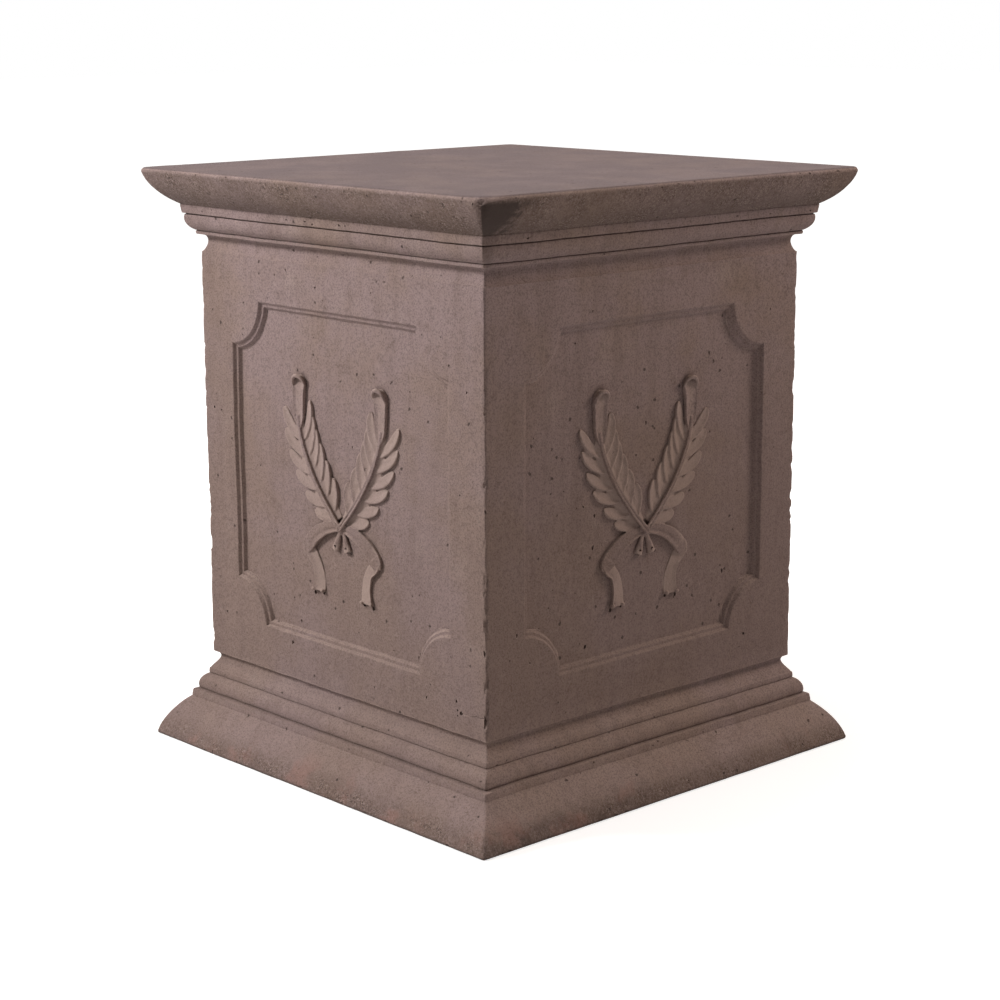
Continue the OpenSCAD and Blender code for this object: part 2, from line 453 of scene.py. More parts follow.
class Scatter:
    """Copies of a few lumps, placed so that no two meet, joined as one cutter."""

    def __init__(self, rng):
        self.rng = rng
        self.lumps = [blob(rng) for _ in range(9)]
        self.taken = []
        self.vertices = []
        self.faces = []

    def add(self, place, size, stretch=(1, 1, 1), side=SIDES[0]):
        """Adds a lump at a place of the front, turned with it to that side, if it has room."""
        place = side @ Vector(place)
        reach = size * max(stretch) * 1.5
        if any((place - other).length < reach + far for other, far in self.taken):
            return
        self.taken.append((place, reach))
        rng = self.rng
        lump = rng.choice(self.lumps).data
        spin = Matrix.Rotation(rng.uniform(0, math.tau), 3, "Z")
        spin = spin @ Matrix.Rotation(rng.uniform(0, math.tau), 3, "X")
        base = len(self.vertices)
        for vertex in lump.vertices:
            co = spin @ vertex.co
            self.vertices.append(place + side @ Vector([c * s * size for c, s in zip(co, stretch)]))
        for face in lump.polygons:
            self.faces.append([base + i for i in face.vertices])

    def cutter(self):
        mesh = bpy.data.meshes.new("wear_cutter")
        mesh.from_pydata(self.vertices, [], self.faces)
        for lump in self.lumps:
            bpy.data.objects.remove(lump)
        return new_object("wear_cutter", mesh)


def inside_panel(x, z, panel, margin=8 * MM):
    """Is this point of a face on the panel's ground?"""
    if abs(x) > panel.width / 2 - margin or abs(z) > panel.height / 2 - margin:
        return False
    corner = Vector((panel.width / 2 - abs(x), panel.height / 2 - abs(z)))
    return corner.length > panel.corner + margin


def near_border(x, z, panel):
    return inside_panel(x, z, panel, -6 * MM) and not inside_panel(x, z, panel, 9 * MM)


def add_air_holes(scatter, wear, sizes, panel, panel_z):
    """Holes left by air in the wet mix: mostly small, a few larger, some in clusters."""
    rng = scatter.rng
    shaft = sizes.shaft_width / 2
    low, high = sizes.foot_height + 6 * MM, HEIGHT - sizes.cap_height - 6 * MM
    for side in SIDES:
        spots = []
        while len(spots) < wear.holes:
            x = rng.uniform(-shaft + 8 * MM, shaft - 8 * MM)
            z = low + (high - low) * rng.random() ** 1.3
            for _ in range(rng.choice((1, 1, 1, 2, 4))):
                spots.append((x + rng.gauss(0, 7 * MM), z + rng.gauss(0, 7 * MM)))
        for x, z in spots:
            if abs(x) > shaft - 4 * MM or not low < z < high or near_border(x, z - panel_z, panel):
                continue
            depth = panel.depth if inside_panel(x, z - panel_z, panel) else 0
            size = rng.choice((0.5, 0.6, 0.6, 0.7, 0.8, 0.9, 1.1, 1.5)) * MM * rng.uniform(0.8, 1.2)
            scatter.add((x, -shaft + depth + size * 0.2, z), size,
                        (rng.uniform(0.7, 1.1), 1, rng.uniform(0.8, 1.5)), side)


def add_chips(scatter, wear, sizes):
    """Small breaks along the upright edges, the cap's edge and the foot's edge."""
    rng = scatter.rng
    shaft, cap, foot = sizes.shaft_width / 2, sizes.cap_width / 2, FOOT_WIDTH / 2
    low, high = sizes.foot_height, HEIGHT - sizes.cap_height
    out = shaft - 0.2 * MM
    for side in SIDES:
        for _ in range(wear.chips):
            z = low + (high - low) * rng.random() ** 1.5
            size = (0.4 + 1.1 * rng.random() ** 5) * MM
            scatter.add((out, -out, z), size, (1, 1, rng.uniform(0.8, 2.2)), side)
        for _ in range(18):
            size = rng.uniform(0.5, 1.2) * MM
            place = (rng.uniform(-cap, cap), -cap - 0.3 * size, HEIGHT - rng.uniform(0, 3) * MM)
            scatter.add(place, size, (rng.uniform(1, 2.6), 1, 1), side)
        for _ in range(26):
            size = rng.uniform(0.7, 1.6) * MM
            place = (rng.uniform(-foot, foot), -foot, rng.uniform(0.2, 2.5) * MM)
            scatter.add(place, size, (rng.uniform(1, 2.6), 1, 0.9), side)
    # The cap's nearest corner is pitted: most spots are below its edge, the others on the mitre
    for _ in range(80):
        drop = abs(rng.gauss(0, 9)) * MM
        aside = abs(rng.gauss(0, 16)) * MM
        if rng.random() < 0.6:
            face = cap - 0.8 * max(0, drop - 3.5 * MM)
            scatter.add((cap - 5 * MM - aside, -face, HEIGHT - drop), rng.uniform(0.4, 0.9) * MM)
        else:
            scatter.add((cap - 4 * MM - drop, -cap + 4 * MM + drop / 2, HEIGHT - 4 * MM - aside / 3),
                        rng.uniform(0.5, 1.1) * MM)


def crack_cutter(sizes, rng):
    """A hairline crack, low on the front by the nearest edge."""
    shaft = sizes.shaft_width / 2
    steps = range(9)
    points = [(shaft - (1 + 3.1 * i) * MM, -shaft + 0.1 * MM,
               sizes.foot_height + (19.5 - 0.35 * i + rng.uniform(-0.5, 0.5)) * MM) for i in steps]
    return tube(points, [(0.42 - 0.02 * i) * MM for i in steps], "crack_cutter")


def add_crack_holes(scatter, sizes):
    """The holes where the crack ends."""
    shaft = sizes.shaft_width / 2
    for x, z, size in ((29.5, 17.5, 1.6), (33.5, 14.5, 1.0), (34, 19, 0.9)):
        scatter.add((shaft - x * MM, -shaft + 0.2 * MM, sizes.foot_height + z * MM), size * MM, (1.2, 1, 1.2))


def add_ribbon_holes(scatter, sizes, panel, panel_z):
    """Two drilled hollows under each ribbon's forked end."""
    out = sizes.shaft_width / 2 - panel.depth
    knot_z = panel_z - panel.knot_drop
    for side in SIDES:
        for x, drop in ((26.5, 60.2), (38.5, 61.8), (-26.5, 60.2), (-38.5, 61.8)):
            scatter.add((x * MM, -out - 0.1 * MM, knot_z - drop * MM), 1.7 * MM, (1, 1.7, 1.15), side)


def add_mould_holes(scatter, sizes):
    """Holes and knocks along the mouldings' edges."""
    rng = scatter.rng
    shaft = sizes.shaft_width / 2
    top = HEIGHT / MM
    # How far out from the shaft, how high, and how many
    ledges = ((15, 40, 7), (14, 36.5, 6), (3, 59, 6), (12, top - 36, 6), (9, top - 42, 5))
    for side in SIDES:
        for out, z, count in ledges:
            for _ in range(count):
                half = shaft + out * MM
                size = rng.uniform(0.5, 1.0) * MM
                place = (rng.uniform(-half, half), -half, (z + rng.uniform(-1, 1)) * MM)
                scatter.add(place, size, (rng.uniform(1, 2), 1, 0.9), side)


def crumble_edges(block, sizes):
    """Roughens the shaft's four upright edges, most in their lower half."""
    shaft = sizes.shaft_width / 2
    top = HEIGHT - sizes.cap_height
    for vertex in block.data.vertices:
        co = vertex.co
        if min(abs(co.x), abs(co.y)) < shaft - 2.4 * MM or not sizes.foot_height - MM < co.z < top + MM:
            continue
        rough = max(0, noise.noise(co / 0.0029) + 0.6 * noise.noise(co / 0.011) + 0.02)
        amount = 3.1 * MM * rough * (1.25 - 0.9 * (co.z - sizes.foot_height) / (top - sizes.foot_height))
        vertex.co -= Vector((math.copysign(amount, co.x), math.copysign(amount, co.y), 0)) * 0.707


def rounded(point, sides, half, high, radius):
    """The point brought in onto a ball of that radius set in the corner of a box."""
    centre = Vector((sides[0] * (half - radius), sides[1] * (half - radius), high - radius))
    if high < HEIGHT / 2:
        centre.z = point.z
    out = Vector((max(0, sides[0] * (point.x - centre.x)), max(0, sides[1] * (point.y - centre.y)),
                  max(0, point.z - centre.z)))
    if out.length <= radius:
        return point
    pull = out - out * (radius / out.length)
    return point - Vector((sides[0] * pull.x, sides[1] * pull.y, pull.z))


def wear_corners(block, sizes):
    """Rounds and crumbles the cap's and foot's corners, the nearest of the cap the most."""
    profile = side_profile(sizes)
    cap, foot = sizes.cap_width / 2, FOOT_WIDTH / 2
    # Which corner, how high, its radius and how far the wear reaches
    worn = ((1, -1, HEIGHT, 13.5, 30), (-1, -1, HEIGHT, 2.5, 14), (1, 1, HEIGHT, 3, 14),
            (-1, 1, HEIGHT, 5, 18), (1, -1, 0, 4, 24), (-1, -1, 0, 3, 18), (1, 1, 0, 2.5, 18),
            (-1, 1, 0, 4, 22))
    for sx, sy, high, radius, reach in worn:
        half = cap if high else foot
        corner = Vector((sx * half, sy * half, high))
        for vertex in block.data.vertices:
            away = (vertex.co - corner).length / (reach * MM)
            if away >= 1:
                continue
            co = vertex.co
            here = half
            if 3.5 * MM < abs(co.z - high):
                here = min(profile, key=lambda p: abs(p.y - co.z)).x
            strength = (1 - away) ** 1.2
            moved = rounded(co, (sx, sy), here, high, (radius * strength + sizes.corner / MM) * MM)
            crumble = strength * 0.7 * MM * max(0, noise.noise(co / 0.005))
            inwards = Vector((-sx, -sy, -0.7 if high else 0)).normalized()
            vertex.co = moved + inwards * crumble * (1 if abs(co.x) > here - 9 * MM < abs(co.y) else 0)


# -------- laurel motif

def stem_heading(u):
    return math.radians(46 + 36 * u ** 1.8)


def stem_point(u, motif):
    """The point at a share u of the right-hand stem, walked from the knot."""
    steps = 60
    point = Vector((0, 0))
    for i in range(round(u * steps)):
        point += unit(stem_heading(i / steps)) * motif.stem_length / steps
    return point


def lying_ball(segments, rings):
    """A ball with its poles along X, ready to be shaped as a leaf."""
    deselect()
    bpy.ops.mesh.primitive_uv_sphere_add(segments=segments, ring_count=rings, radius=1)
    ball = bpy.context.active_object
    ball.data.transform(Matrix.Rotation(math.radians(90), 4, "Y"))
    return ball


def on_ball(co):
    """The share along X of a point of such a ball, and how far it is to the side and up."""
    ring = math.hypot(co.y, co.z)
    side, top = (co.y / ring, co.z / ring) if ring > 1e-6 else (0, 0)
    return (co.x + 1) / 2, side, top


def shaped_lobe(motif, length_share, side):
    """A finger that bends back to the stem. Across it, the top is a little hollow and rises to
    a steep rim along its lower edge."""
    lobe = lying_ball(28, 18)
    reach = motif.leaf_length * length_share
    bend = -side * math.radians(56)
    for vertex in lobe.data.vertices:
        u, wide, top = on_ball(vertex.co)
        end = math.sqrt(max(0, 1 - (max(0, u - 0.6) / 0.4) ** 2))
        across = wide * motif.leaf_width / 2 * (0.86 + 0.2 * u) * end
        lower = (1 + wide * side) / 2
        slope = 0.42 + 0.58 * lower ** 2.4 - 0.16 * math.sin(math.pi * lower)
        up = math.copysign(abs(top) ** 0.5, top) * motif.leaf_rise * slope * (0.8 + 0.26 * u)
        spine = unit(bend * (u / 2 - 1)) * reach * u
        vertex.co = (*beside(spine, bend * (u - 1), across), up * (0.4 + 0.6 * end))
    return lobe


def frond_lobes(motif):
    """Lobes to each side of the stem, the lowest the smallest."""
    parts = []
    count = 6
    for k in range(count):
        # Side, share of the stem where the first sits, and how the lobes open from it
        for side, first, wide, closing in ((-1, 0.11, 16, 20), (1, 0.17, 18, 14)):
            u = first + (0.82 - first) * k / (count - 1)
            root = stem_point(u, motif)
            lobe = shaped_lobe(motif, 0.84 + 0.34 * min(1, 2.2 * u), side)
            turn = stem_heading(u) + side * math.radians(wide - closing * u)
            lobe.data.transform(Matrix.Translation((root.x, root.y, 0)) @ Matrix.Rotation(turn, 4, "Z"))
            parts.append(lobe)
    return parts


def frond_web(motif):
    """The low blade that joins the lobes' roots to the stem."""
    rows = []
    for i in range(25):
        u = 0.06 + 0.92 * i / 24
        centre, heading = stem_point(min(u, 1), motif), stem_heading(u)
        reach = 10 * MM * math.sin(math.pi * min(1, 0.08 + u * 0.9)) ** 0.5
        rows.append([(*beside(centre, heading, reach * v / 4), motif.leaf_rise * (0.62 - 0.5 * abs(v / 4)))
                     for v in range(-4, 5)])
    return [strip(rows, 4 * MM, "frond_web")]


def tube(points, radii, name):
    """A round rod along a line of points, as a curve turned to a mesh."""
    curve = bpy.data.curves.new(name, "CURVE")
    curve.dimensions = "3D"
    curve.bevel_depth = 1
    curve.bevel_resolution = 3
    curve.use_fill_caps = True
    spline = curve.splines.new("POLY")
    spline.points.add(len(points) - 1)
    for target, point, radius in zip(spline.points, points, radii):
        target.co = (*point, 1)
        target.radius = radius
    activate(new_object(name, curve))
    bpy.ops.object.convert(target="MESH")
    return bpy.context.active_object


def stem(motif):
    """Two fine ridges side by side that run together towards the tip."""
    shares = [i / 24 for i in range(25)]
    radii = [1.15 * MM * (1 - 0.25 * u) for u in shares]
    parts = []
    for side in (-1, 1):
        points = [(*beside(stem_point(u, motif), stem_heading(u), 1.65 * MM * (1 - 0.6 * u) * side),
                   motif.leaf_rise - 0.1 * MM - 1.8 * MM * u ** 3) for u in shares]
        parts.append(tube(points, radii, "stem"))
    return parts


def end_leaf(motif):
    """The long leaf at the tip: hollow along its middle, raised along both edges, its end curled forward as a
    hood.
    """
    leaf = lying_ball(32, 26)
    reach, half, rise = motif.end_leaf_length, motif.end_leaf_width / 2, motif.leaf_rise
    sweep = math.radians(14)
    for vertex in leaf.data.vertices:
        u, side, top = on_ball(vertex.co)
        end = math.sqrt(max(0, 1 - (max(0, u - 0.78) / 0.22) ** 2))
        root = math.sqrt(min(1, u / 0.25))
        across = side * half * (0.66 + 0.34 * u) * end * root
        if top > 0:
            rim = abs(side) ** 3
            up = rise * (0.45 + 0.4 * rim) * min(1, top * 2.4) * (1.1 - 0.45 * max(0, u - 0.7) / 0.3)
        else:
            up = rise * 0.6 * top
        angle = sweep * u
        vertex.co = (reach * u - math.sin(angle) * across,
                     math.sin(angle) * reach * u * 0.5 + math.cos(angle) * across, up)
    hood = []
    radii = []
    for i in range(13):
        turn = math.radians(-100 + 200 * i / 12)
        hood.append((reach * 0.82 + half * 0.82 * math.cos(turn), reach * 0.1 + half * 0.82 * math.sin(turn),
                     rise * (0.6 + 0.5 * math.cos(turn))))
        radii.append((0.7 + 1.2 * max(0, math.cos(turn * 0.9))) * MM)
    root = stem_point(0.88, motif)
    place = Matrix.Translation((root.x, root.y, 0.2 * MM)) @ Matrix.Rotation(math.radians(83), 4, "Z")
    parts = [leaf, tube(hood, radii, "hood")]
    for part in parts:
        part.data.transform(place)
    return parts


def strip(rows, thickness, name):
    """A band given as rows of points across it, made solid downwards."""
    across = len(rows[0])
    deselect()
    bpy.ops.mesh.primitive_grid_add(x_subdivisions=across - 1, y_subdivisions=len(rows) - 1)
    band = bpy.context.active_object
    band.name = name
    points = [point for row in rows for point in row]
    for vertex, point in zip(band.data.vertices, points):
        vertex.co = point
    begin_edit(band)
    bpy.ops.mesh.extrude_region_move(TRANSFORM_OT_translate={"value": (0, 0, -thickness)})
    end_edit()
    return band


def band_rows(upper, lower, height, steps_across=8):
    """Rows of points between an upper and a lower edge line; height(u, v) lifts them."""
    shares = [j / steps_across for j in range(steps_across + 1)]
    last = len(upper) - 1
    return [[(*a.lerp(b, v), height(i / last, v)) for v in shares]
            for i, (a, b) in enumerate(zip(upper, lower))]


def ribbon(motif):
    """The right-hand ribbon: its band, the turned-over fold and the tail that hangs from it."""
    rise = motif.ribbon_rise
    top = Vector((motif.ribbon_reach, -19 * MM))
    bottom = top - unit(math.radians(15)) * motif.ribbon_width
    steps, thickness = 18, 5.5 * MM
    upper = bow((0, 3 * MM), top + Vector((-2 * MM, 4 * MM)), 6.8 * MM, steps)
    lower = bow((0, -3 * MM), bottom, 4 * MM, steps)

    def band_height(u, v):
        crease = math.exp(-((v - 0.68) / 0.11) ** 2)
        return rise * (0.66 + 0.2 * v + 0.24 * math.sin(math.pi * u) - 0.34 * crease * (1 - 0.6 * u))

    band = strip(band_rows(upper, lower, band_height), thickness, "ribbon_band")
    fold_outer = bow(top + Vector((-2 * MM, 4 * MM)), top + Vector((0, -8 * MM)), 2 * MM, 8)
    fold_inner = bow(bottom, bottom + Vector((7 * MM, -5 * MM)), -0.8 * MM, 8)

    def fold_height(u, v):
        return rise * (0.82 + 0.12 * v - 0.12 * u)

    fold = strip(band_rows(fold_outer, fold_inner, fold_height), thickness, "ribbon_fold")
    tail_out = top - Vector((10 * MM, motif.ribbon_drop - 17 * MM))
    waist = top - Vector((9.5 * MM, 15 * MM))
    outer = bow(top - Vector((0, 3 * MM)), waist, 1.8 * MM, 9)[:-1] + bow(waist, tail_out, -3.2 * MM, 12)
    tail_in = tail_out - Vector((motif.ribbon_width + 2 * MM, 0))
    inner = bow(tail_in, bottom, 4.5 * MM, len(outer) - 1)
    inner.reverse()

    def tail_height(u, v):
        return rise * (0.88 - 0.66 * v ** 0.6 + 0.1 * math.sin(math.pi * 2 * u)
                       + 0.3 * max(0, u - 0.88) / 0.12)

    tail = strip(band_rows(outer, inner, tail_height), thickness, "ribbon_tail")
    parts = [band, fold, tail]
    for share in (0.12, 0.86):
        curl = tail_out.lerp(tail_in, share)
        line = [(curl.x + dx * MM, curl.y + 0.8 * MM, rise * 0.75) for dx in (-1.6, 0, 1.6)]
        parts.append(tube(line, [1.3 * MM, 1.6 * MM, 1.3 * MM], "ribbon_end"))
    return parts


def stem_stub(motif):
    """The cut end of a stem below the knot: a short flared cup on its side."""
    deselect()
    bpy.ops.mesh.primitive_cone_add(vertices=20, radius1=4.4 * MM, radius2=2 * MM, depth=17 * MM,
                                    end_fill_type="NGON")
    stub = bpy.context.active_object
    activate(stub)
    bpy.ops.object.mode_set(mode="EDIT")
    bpy.ops.mesh.select_mode(type="FACE")
    bpy.ops.mesh.select_all(action="DESELECT")
    bpy.ops.object.mode_set(mode="OBJECT")
    for face in stub.data.polygons:
        face.select = face.normal.z < -0.9
    bpy.ops.object.mode_set(mode="EDIT")
    bpy.ops.mesh.inset(thickness=1.1 * MM)
    bpy.ops.mesh.extrude_region_move(TRANSFORM_OT_translate={"value": (0, 0, 5 * MM)})
    bpy.ops.object.mode_set(mode="OBJECT")
    along = Matrix.Rotation(math.radians(-90), 4, "X")
    lean = Matrix.Rotation(math.radians(20), 4, "Z")
    flat = Matrix.Scale(0.7, 4, (0, 0, 1))
    stub.data.transform(Matrix.Translation((5.2 * MM, -11.5 * MM, 0.9 * MM)) @ flat @ lean @ along)
    return [stub]


def knot():
    """The tie: a small lump crossed by two turns of ribbon."""
    deselect()
    bpy.ops.mesh.primitive_uv_sphere_add(segments=20, ring_count=12, radius=1)
    core = bpy.context.active_object
    core.data.transform(Matrix.LocRotScale(Vector((0, -0.5 * MM, 0)), None,
                                           Vector((4.8 * MM, 5.6 * MM, 4.2 * MM))))
    parts = [core]
    for lift in (-1.6, 2.2):
        points = [(x * MM, (lift + 0.25 * x) * MM, (4.1 - 0.12 * x * x) * MM) for x in (-5, -3, -1, 1, 3, 5)]
        parts.append(tube(points, [0.9 * MM] * len(points), "knot_turn"))
    return parts


def mirrored(parts):
    """Left-hand twins of right-hand parts."""
    twins = [copy_of(part, Matrix.Scale(-1, 4, (1, 0, 0))) for part in parts]
    for twin in twins:
        twin.data.flip_normals()
    return twins


def build_motif(motif):
    """Models one motif lying flat, fuses its parts as one cast skin and softens it."""
    right = frond_lobes(motif) + frond_web(motif) + stem(motif) + end_leaf(motif)
    right += ribbon(motif) + stem_stub(motif)
    whole = join(right + mirrored(right) + knot(), "laurel")
    apply(whole, "REMESH", mode="VOXEL", voxel_size=motif.grain)
    apply(whole, "SMOOTH", factor=0.5, iterations=2)
    deselect()
    bpy.ops.mesh.primitive_cube_add(size=0.4, location=(0, 0, -0.2 - 1.2 * MM))
    cut(whole, bpy.context.active_object)
    return whole


# -------- stone finish

def linear(hex_colour):
    """An sRGB hex colour as linear values for a shader."""
    values = [int(hex_colour[i:i + 2], 16) / 255 for i in (1, 3, 5)]
    return [v / 12.92 if v <= 0.04045 else ((v + 0.055) / 1.055) ** 2.4 for v in values] + [1]


def add_node(tree, kind, inputs=(), **settings):
    """Adds a node, sets its properties, and sets or links each input by name or number. A hex
    string is an sRGB colour."""
    node = tree.nodes.new(kind)
    for name, value in settings.items():
        setattr(node, name, value)
    for key, value in dict(inputs).items():
        socket = node.inputs[key]
        if isinstance(value, bpy.types.NodeSocket):
            tree.links.new(value, socket)
        else:
            socket.default_value = linear(value) if isinstance(value, str) else value
    return node


def math_node(tree, operation, *values):
    """Folds sockets and numbers together by one operation, from the left."""
    out = values[0]
    for value in values[1:]:
        out = add_node(tree, "ShaderNodeMath", {0: out, 1: value}, operation=operation).outputs[0]
    return out


def blend(tree, share, base, top):
    """Mixes two colours: a share of 0 is all base, 1 all top."""
    return add_node(tree, "ShaderNodeMix", {0: share, 6: base, 7: top}, data_type="RGBA").outputs[2]


def blank_tree(owner):
    """The emptied node tree of a material or a world."""
    owner.use_nodes = True
    owner.node_tree.nodes.clear()
    return owner.node_tree


def cast_stone(colours):
    """Wet-cast stone: brown pigmented cement and fine sand, rubbed but never polished. It is matt, mottled in
    soft clouds, streaked by water, with sandy crusts and dirt; painted shade darkens its grooves, hollows and
    the cap's lower face, and painted light makes its upward faces and proud edges paler."""
    material = bpy.data.materials.new("wet_cast_brown_stone")
    tree = blank_tree(material)
    place = add_node(tree, "ShaderNodeTexCoord").outputs["Object"]
    x, y, height = add_node(tree, "ShaderNodeSeparateXYZ", {0: place}).outputs
    normal = add_node(tree, "ShaderNodeNewGeometry").outputs["Normal"]
    facing_up = add_node(tree, "ShaderNodeSeparateXYZ", {0: normal}).outputs["Z"]

    def clouds(size_mm, detail=4, roughness=0.55, stretch=(1, 1, 1), shift=0.0):
        """Noise whose lumps are of about that size."""
        mapped = add_node(tree, "ShaderNodeMapping",
                          {"Vector": place, "Location": (shift, shift, shift), "Scale": stretch})
        return add_node(tree, "ShaderNodeTexNoise",
                        {"Vector": mapped.outputs[0], "Scale": 1000 / size_mm, "Detail": detail,
                         "Roughness": roughness}).outputs["Fac"]

    def spread(value, low, high, out_low=0.0, out_high=1.0):
        """Eases from out_low to out_high while the value goes from low to high."""
        return add_node(tree, "ShaderNodeMapRange",
                        {"Value": value, "From Min": low, "From Max": high, "To Min": out_low,
                         "To Max": out_high}, interpolation_type="SMOOTHSTEP").outputs["Result"]

    def level(low, high, *out):
        """Spread between two heights in mm over the ground."""
        return spread(height, low * MM, high * MM, *out)

    def under_top(low, high, *out):
        """Spread between two depths in mm under the top."""
        return spread(height, HEIGHT - low * MM, HEIGHT - high * MM, *out)

    def product(*values):
        return math_node(tree, "MULTIPLY", *values)

    def enclosed(reach_mm, **settings):
        """How open the surface is to what lies within reach."""
        return add_node(tree, "ShaderNodeAmbientOcclusion", {"Distance": reach_mm * MM}, samples=4,
                        **settings).outputs["AO"]

    def bump(strength, depth_mm, relief, under=None, **settings):
        inputs = {"Strength": strength, "Distance": depth_mm * MM, "Height": relief}
        if under is not None:
            inputs["Normal"] = under
        return add_node(tree, "ShaderNodeBump", inputs, **settings).outputs[0]

    # The block's two faces by the nearest edge, and the shaft between the mouldings
    outward = spread(math_node(tree, "SUBTRACT", x, y), -MM, MM)
    beyond = math_node(tree, "ADD", x, y)
    front, right = product(spread(beyond, MM, -MM), outward), product(spread(beyond, -MM, MM), outward)
    shaft_zone = product(level(84, 90), level(430, 424))
    # Sandy crust on the cap's face and the foot's lower slope
    cap_zone = product(under_top(32.4, 31.2), under_top(1, 5, 0.15, 1))
    crust = product(math_node(tree, "MAXIMUM", cap_zone, level(23, 7)),
                    spread(clouds(30, 5, 0.65, shift=2.2), 0.35, 0.7, 0.5, 1))
    sandy = product(crust, spread(clouds(22, 3, shift=2.9), 0.35, 0.6, 0.35, 1))
    # The cap's right by its nearest corner, with a ragged end
    ragged = math_node(tree, "ADD", y, spread(clouds(14, 4, 0.7, shift=6.1), 0.3, 0.7, -12 * MM, 12 * MM))
    corner = product(spread(ragged, -160 * MM, -188 * MM), right, under_top(75, 60), under_top(2, 7))
    # Sand grains, drawn at about a millimetre so that they show
    grains = clouds(1.4, 2, 0.7)
    speck_zone = math_node(tree, "MAXIMUM", spread(clouds(48, 3, shift=9.4), 0.54, 0.66, 0, 0.8),
                           level(30, 8))
    # Pin holes up to two millimetres across, ragged, in about a third of the cells
    cells = add_node(tree, "ShaderNodeTexVoronoi", {"Vector": place, "Scale": 1000 / 11.0})
    chance = add_node(tree, "ShaderNodeSeparateColor", {0: cells.outputs["Color"]}).outputs[0]
    wobbly = math_node(tree, "ADD", cells.outputs["Distance"], spread(clouds(2.4, 2), 0.3, 0.7, -0.03, 0.05))
    reach = spread(chance, 0.6, 1.0, 0.05, 0.17)
    pin = product(spread(wobbly, reach, product(reach, 0.6)), spread(chance, 0.6, 0.62))

    # Each layer's colour goes over the ones before it, by the product of its shares
    layers = (
        # Clouds of pigment about a hand wide, and paler bloom in smaller ones
        (colours.warm, spread(clouds(110), 0.38, 0.62)),
        (colours.bloom_and_light, spread(clouds(38, 5, shift=3.1), 0.56, 0.76, 0, 0.35)),
        # Painted light: upward faces are paler, as if lit from above, the motifs' the most
        (colours.rubbed_and_lit, spread(facing_up, 0.3, 0.7), spread(shaft_zone, 0, 1, 0.16, 0.7)),
        # Painted shade and light: the foot is darker in front, and paler on the right where light from above
        # falls
        (colours.streak_and_shade, level(76, 70), front, 0.35),
        (colours.bloom_and_light, level(38, 34), right, 0.25),
        # Painted shade: the shaft's right is darker low down, and its front by the far edge
        (colours.streak_and_shade, level(420, 240, 0, 0.3), shaft_zone, right),
        (colours.streak_and_shade, spread(x, -145 * MM, -175 * MM, 0, 0.3), front),
        # The lower on the shaft the darker and browner
        (colours.streak_and_shade, level(470, 60, 0, 0.5), level(74, 80, 0.25, 1)),
        # Water streaks: a few millimetres wide, a hand long
        (colours.streak_and_shade, spread(clouds(9, 4, 0.7, (1, 1, 0.07), 1.7), 0.48, 0.72, 0, 0.3)),
        (colours.streak_and_shade, spread(clouds(26, 4, 0.6, (1, 1, 0.12), 5.3), 0.5, 0.72, 0, 0.34)),
        # Uneven stains from a fingertip wide down to specks
        (colours.streak_and_shade, spread(clouds(16, 8, 0.78, shift=7.7), 0.5, 0.72, 0, 0.6)),
        (colours.bloom_and_light, spread(clouds(11, 8, 0.8, shift=4.9), 0.54, 0.74, 0, 0.4)),
        # The top is stained darker by what stood on it
        (colours.top, under_top(1.5, 0.5), spread(clouds(70, 5, 0.65, shift=8.8), 0.36, 0.6, 0.74, 0.94)),
        (colours.grime_and_shade, spread(grains, 0.42, 0.72, 0, 0.46)),
        (colours.sand, crust, spread(clouds(3.0, 4, 0.8, shift=8.2), 0.42, 0.62, 0.45, 0.9)),
        # Painted shade: the cap's face is darker towards its foot, where it faces down
        (colours.grime_and_shade, under_top(31.8, 31.2), under_top(13, 29), 0.26),
        # Sand shows as pale and dark grains in the crust
        (colours.bloom_and_light, sandy, spread(clouds(1.7, 3, 0.9, shift=12.1), 0.53, 0.6), 0.9),
        (colours.grime_and_shade, sandy, spread(clouds(1.9, 3, 0.9, shift=3.3), 0.47, 0.4), 0.95),
        # The cap's nearest corner is darkened almost black on its right; down the cap's lower mouldings and
        # neck under it, the same patch at a third is painted shadow of the cap
        (colours.grime_and_shade, corner, under_top(33, 30, 0.3, 0.95)),
        # Dark sandy dirt low on the foot's right, most by the nearest corner, and rust
        (colours.grime_and_shade, level(24, 5), right, spread(ragged, 60 * MM, -200 * MM, 0.2, 1),
         spread(clouds(9, 5, 0.8, shift=1.9), 0.4, 0.62, 0.1, 0.6)),
        (colours.rust, level(34, 10), spread(clouds(42, 5, 0.6, shift=6.4), 0.52, 0.66, 0, 0.4)),
        # Dark sandy specks, in patches and thick on the foot
        (colours.sand, spread(clouds(2.6, 2, 0.6, shift=5.8), 0.6, 0.68), speck_zone, 0.7),
        # Painted shade and dirt darken the pin holes
        (colours.grime_and_shade, pin, 0.75),
        # Proud edges are paler, partly rubbed and partly a painted highlight; painted shade darkens the
        # surface unevenly where it is enclosed, in grooves and hollows
        (colours.rubbed_and_lit, spread(enclosed(3, inside=True), 0.7, 0.4, 0, 0.45)),
        (colours.grime_and_shade, spread(enclosed(5), 0.85, 0.35, 0, 0.7),
         spread(clouds(12, 4, 0.7, shift=1.1), 0.3, 0.6, 0.5, 1)),
    )
    skin = colours.body
    for tint, *shares in layers:
        skin = blend(tree, product(*shares), skin, tint)

